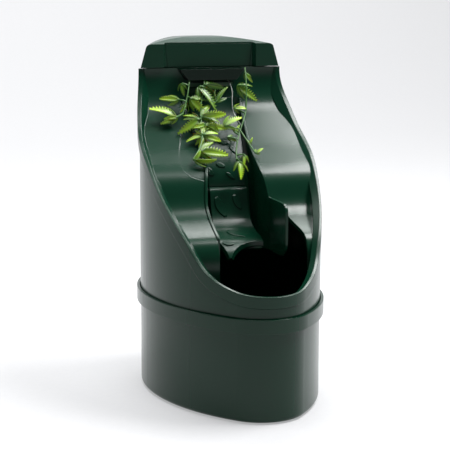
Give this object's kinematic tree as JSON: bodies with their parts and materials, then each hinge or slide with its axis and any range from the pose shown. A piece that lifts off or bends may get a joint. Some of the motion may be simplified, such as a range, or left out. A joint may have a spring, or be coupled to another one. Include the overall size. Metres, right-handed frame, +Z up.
{
  "type": "pet drinking waterfall fountain",
  "caption": "Oval table-top pet drinking fountain: water tub, lift-off housing with a leaf-embossed cascade, cap, pump inside and an artificial vine.",
  "frame": {"origin": "middle of the footprint on the surface it stands on", "axes": "+Z up, -Y to the front (bowl side), +X to the object's right as seen from the front"},
  "size_m": [0.0994, 0.1598, 0.1945],
  "materials": {
    "green_gloss": "glossy moulded dark green plastic",
    "black_rubber": "matt black rubber",
    "pump_plastic": "satin black plastic",
    "rotor_plastic": "grey moulded rotor",
    "shaft_ceramic": "white ceramic",
    "tube_clear": "flexible clear tube",
    "sponge_foam": "open-cell filter foam",
    "stem_green": "soft green plastic",
    "leaf_green": "soft yellow-green plastic"
  },
  "bodies": {
    "tub": {"base_tub": "green_gloss", "foot_front": "black_rubber", "foot_back": "black_rubber", "foot_left": "black_rubber", "foot_right": "black_rubber", "pump_body": "pump_plastic", "pump_nozzle": "pump_plastic", "riser_tube": "tube_clear", "impeller_shaft": "shaft_ceramic", "suction_cup_front_left": "black_rubber", "suction_cup_front_right": "black_rubber", "suction_cup_back_left": "black_rubber", "suction_cup_back_right": "black_rubber"},
    "housing": {"upper_housing": "green_gloss", "face_panel": "green_gloss", "channel_insert": "green_gloss", "upper_cascade": "green_gloss", "lower_cascade": "green_gloss", "outlet_spout": "green_gloss", "cable_grommet": "black_rubber", "plant_clip": "stem_green", "vine_stem_left": "stem_green", "vine_leaves_left": "leaf_green", "vine_stem_middle": "stem_green", "vine_leaves_middle": "leaf_green", "vine_stem_right": "stem_green", "vine_leaves_right": "leaf_green"},
    "cap": {"top_cap": "green_gloss", "visor_plate": "green_gloss"},
    "intake_cover": {"pump_cover": "pump_plastic", "pump_sponge": "sponge_foam"},
    "dial": {"flow_dial": "pump_plastic"},
    "rotor": {"impeller": "rotor_plastic"}
  },
  "joints": [
    {"name": "housing_lift", "type": "slide", "parent": "tub", "child": "housing", "axis": [0, 0, 1], "range_m": [0, 0.14]},
    {"name": "cap_lift", "type": "slide", "parent": "housing", "child": "cap", "axis": [0, 0, 1], "range_m": [0, 0.03]},
    {"name": "cover_pull", "type": "slide", "parent": "tub", "child": "intake_cover", "axis": [0, -1, 0], "range_m": [0, 0.012]},
    {"name": "dial_turn", "type": "hinge", "parent": "intake_cover", "child": "dial", "pos_m": [0.013, 0.01975, 0.0236], "axis": [0, -1, 0], "range_deg": [0, 90]},
    {"name": "impeller_spin", "type": "hinge", "parent": "tub", "child": "rotor", "pos_m": [0, 0.04375, 0.0236], "axis": [0, -1, 0], "continuous": true}
  ]
}
